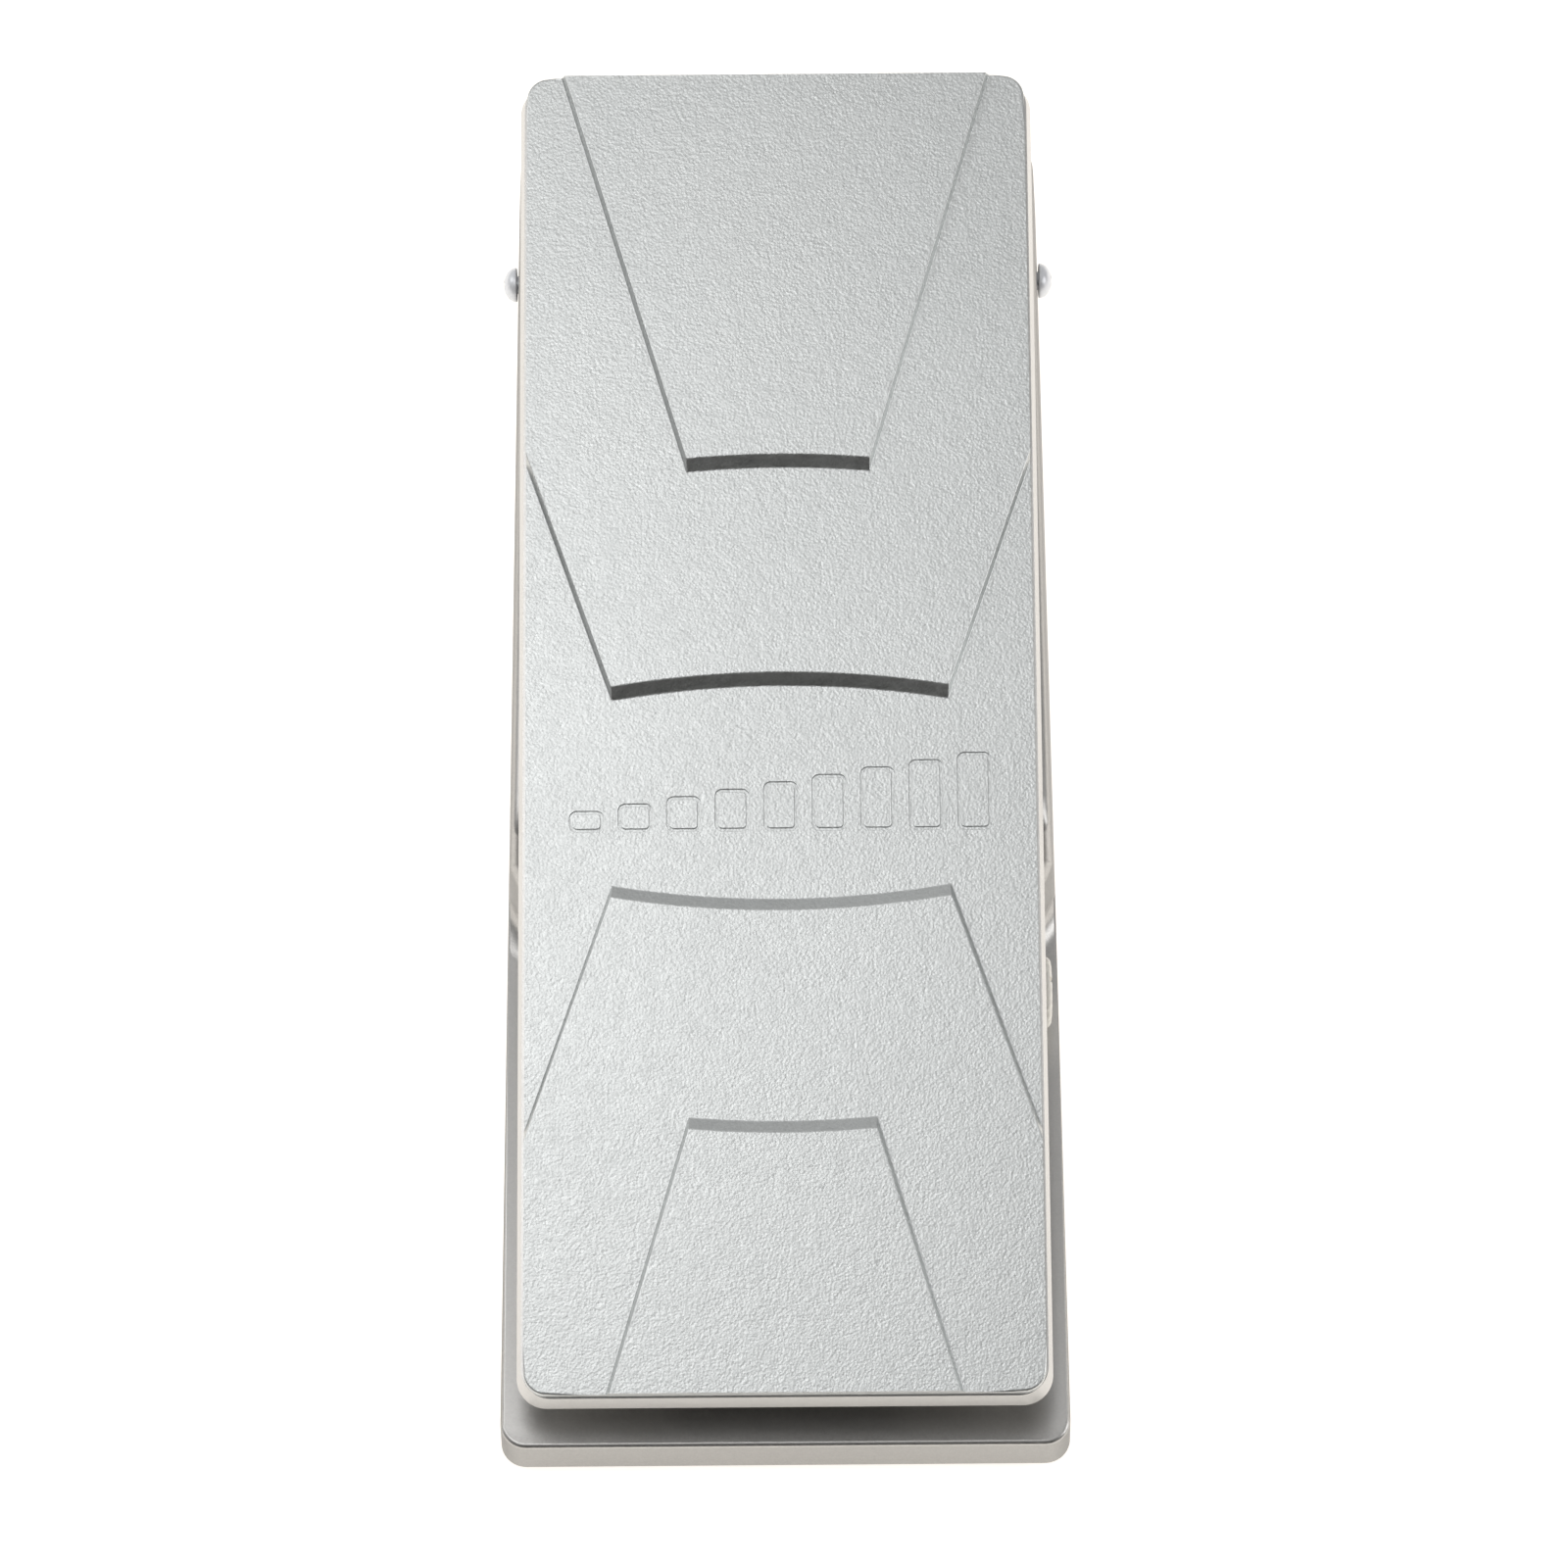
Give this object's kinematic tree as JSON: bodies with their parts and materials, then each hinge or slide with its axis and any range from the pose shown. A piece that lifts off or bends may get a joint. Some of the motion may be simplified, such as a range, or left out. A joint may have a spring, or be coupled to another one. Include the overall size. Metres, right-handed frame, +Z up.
{
  "type": "volume pedal",
  "caption": "Rocking foot treadle with a stepped rubber mat on a low drafted metal base; a toothed sector turns the volume pot, jacks in the toe wall.",
  "frame": {"origin": "middle of the whole pedal's footprint, at floor level under the rubber feet", "axes": "+X to the player's right, +Y from heel to toe, +Z up; the treadle stands heel-down"},
  "size_m": [0.1132, 0.289, 0.0908],
  "materials": {
    "silver_casting": "satin silver metallic paint over die-cast aluminium, warm on the low shaded walls",
    "tread_rubber": "silver-grey moulded rubber with a fine sparkling grain and stepped panels",
    "black_steel": "black powder coat with a fine orange-peel texture",
    "black_rubber": "matt black moulded rubber",
    "black_plastic": "black moulded plastic, satin",
    "bright_nickel": "bright nickel plate",
    "circuit_board": "green soldermask over glass-epoxy board",
    "plated_steel": "zinc-plated steel, lightly brushed",
    "brass": "turned and stamped brass, dulled",
    "white_nylon": "natural nylon, slightly translucent looking",
    "ivory_plastic": "cream moulded plastic with fine flutes"
  },
  "bodies": {
    "base": {"base_casting": "silver_casting", "bottom_cover": "black_steel", "cover_screw_1": "black_steel", "cover_screw_2": "black_steel", "cover_screw_3": "black_steel", "cover_screw_4": "black_steel", "cover_screw_5": "black_steel", "cover_screw_6": "black_steel", "foot_heel_left": "black_rubber", "foot_heel_right": "black_rubber", "foot_toe_left": "black_rubber", "foot_toe_right": "black_rubber", "jack_expression": "black_plastic", "jack_tuner": "black_plastic", "jack_output_b": "black_plastic", "jack_output_a": "black_plastic", "jack_input_b": "black_plastic", "jack_input_a": "black_plastic", "jack_nut_expression": "bright_nickel", "jack_nut_tuner": "bright_nickel", "jack_nut_output_b": "bright_nickel", "jack_nut_output_a": "bright_nickel", "jack_nut_input_b": "bright_nickel", "jack_nut_input_a": "bright_nickel", "jack_board": "circuit_board", "jack_bracket": "plated_steel", "side_screw_left": "bright_nickel", "side_screw_right": "bright_nickel", "pot_bracket": "plated_steel", "pot_bracket_screw_1": "plated_steel", "pot_bracket_screw_2": "plated_steel", "volume_pot": "plated_steel", "volume_pot_nut": "brass", "min_volume_pot": "plated_steel", "min_volume_nut": "brass", "pivot_bush_left": "white_nylon", "pivot_bush_right": "white_nylon", "brake_shoe": "white_nylon", "spring_seat": "plated_steel", "tension_spring": "plated_steel", "heel_stop_left": "black_rubber", "heel_stop_right": "black_rubber", "toe_stop_left": "black_rubber", "toe_stop_right": "black_rubber", "volume_pot_lead": "black_plastic", "min_volume_lead": "black_plastic"},
    "treadle": {"treadle_casting": "silver_casting", "tread_mat": "tread_rubber", "pivot_shaft": "plated_steel", "shaft_set_screw_left": "black_steel", "shaft_set_screw_right": "black_steel", "gear_sector": "brass", "sector_screw_1": "plated_steel", "sector_screw_2": "plated_steel"},
    "pot_rotor": {"pot_pinion": "white_nylon", "volume_pot_spindle": "plated_steel"},
    "min_volume": {"min_volume_knob": "ivory_plastic", "min_volume_spindle": "plated_steel"},
    "tension": {"tension_screw": "plated_steel"}
  },
  "joints": [
    {"name": "treadle_rock", "type": "hinge", "parent": "base", "child": "treadle", "pos_m": [0, -0.0045, 0.038], "axis": [1, 0, 0], "range_deg": [-17.5, 0]},
    {"name": "pot_turn", "type": "hinge", "parent": "base", "child": "pot_rotor", "pos_m": [0.0175, 0.03356, 0.02025], "axis": [1, 0, 0], "range_deg": [0, 105]},
    {"name": "min_volume_turn", "type": "hinge", "parent": "base", "child": "min_volume", "pos_m": [0.0495, -0.0535, 0.0215], "axis": [1, 0, 0], "range_deg": [0, 270]},
    {"name": "tension_turn", "type": "hinge", "parent": "base", "child": "tension", "pos_m": [0, -0.0045, 0.008], "axis": [0, 0, 1], "range_deg": [-180, 180]}
  ],
  "couplings": [
    {"joint": "pot_turn", "follows": "treadle_rock", "ratio": -6}
  ]
}
